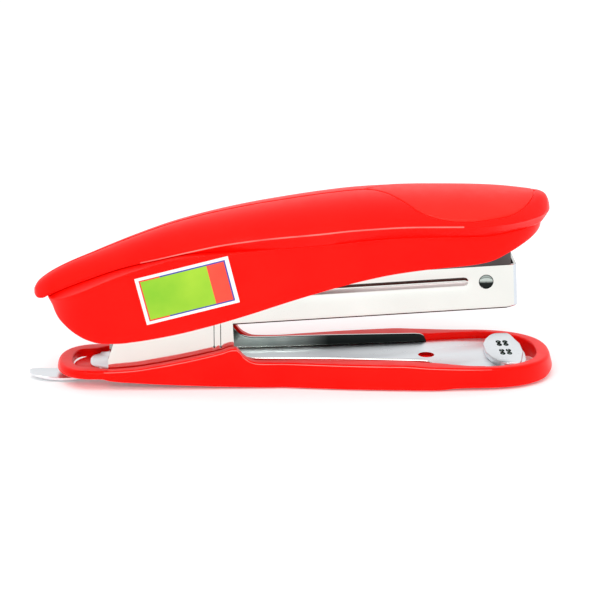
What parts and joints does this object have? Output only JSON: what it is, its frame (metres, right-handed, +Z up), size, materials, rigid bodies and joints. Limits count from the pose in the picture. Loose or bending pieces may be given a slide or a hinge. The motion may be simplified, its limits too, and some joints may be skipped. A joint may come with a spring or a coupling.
{
  "type": "mini desk stapler",
  "caption": "Small desk stapler: steel base channel and magazine on one rear hinge pin, anvil, rear staple-remover tongue, red moulded base ring and two-part handle cover.",
  "frame": {"origin": "centre of the whole object's box on the ground plane, under the middle of its length", "axes": "+X to the front (mouth end), +Y across to the far side, +Z up"},
  "size_m": [0.109, 0.027, 0.0399],
  "materials": {
    "red_plastic": "satin gloss moulded plastic",
    "pad_plastic": "fine satin",
    "label_paper": "plain printed sticker, no lettering",
    "dark_plastic": "satin",
    "nickel_steel": "bright nickel plate",
    "staple_wire": "galvanised wire, glued strip",
    "dark_steel": "oiled bright steel",
    "spring_steel": "drawn spring steel"
  },
  "bodies": {
    "base": {"base_ring": "red_plastic", "base_plate": "nickel_steel", "anvil_plate": "nickel_steel", "anvil_rivets": "nickel_steel", "staple_remover": "nickel_steel", "remover_rivets": "nickel_steel", "hinge_pin": "nickel_steel", "return_spring": "spring_steel"},
    "magazine": {"magazine_shell": "nickel_steel", "staple_core": "nickel_steel", "side_rivets": "nickel_steel", "staple_strip": "staple_wire", "pusher_rod": "nickel_steel", "rod_block": "nickel_steel", "pusher_spring": "spring_steel"},
    "pusher_body": {"pusher": "dark_plastic"},
    "handle": {"handle_frame": "dark_steel", "driver_blade": "dark_steel", "driver_rivets": "nickel_steel", "handle_spring": "spring_steel", "cover_skirt": "red_plastic", "cover_cap": "red_plastic", "thumb_pad": "pad_plastic", "label": "label_paper"}
  },
  "joints": [
    {"name": "magazine_hinge", "type": "hinge", "parent": "base", "child": "magazine", "pos_m": [-0.0313, 0, 0.0164], "axis": [0, 1, 0], "range_deg": [0, 7.6], "stiffness_Nm_per_rad": 0.35, "springref_deg": -11.46, "deforming": ["return_spring"]},
    {"name": "handle_hinge", "type": "hinge", "parent": "magazine", "child": "handle", "pos_m": [-0.0313, 0, 0.0164], "axis": [0, 1, 0], "range_deg": [-38, 4.5], "stiffness_Nm_per_rad": 0.5, "springref_deg": -1.15, "deforming": ["handle_spring"]},
    {"name": "pusher_slide", "type": "slide", "parent": "magazine", "child": "pusher_body", "axis": [0.9988, 0, 0.0482], "range_m": [-0.025, 0], "stiffness_N_per_m": 30, "springref_m": 0.03, "deforming": ["pusher_spring"]}
  ]
}
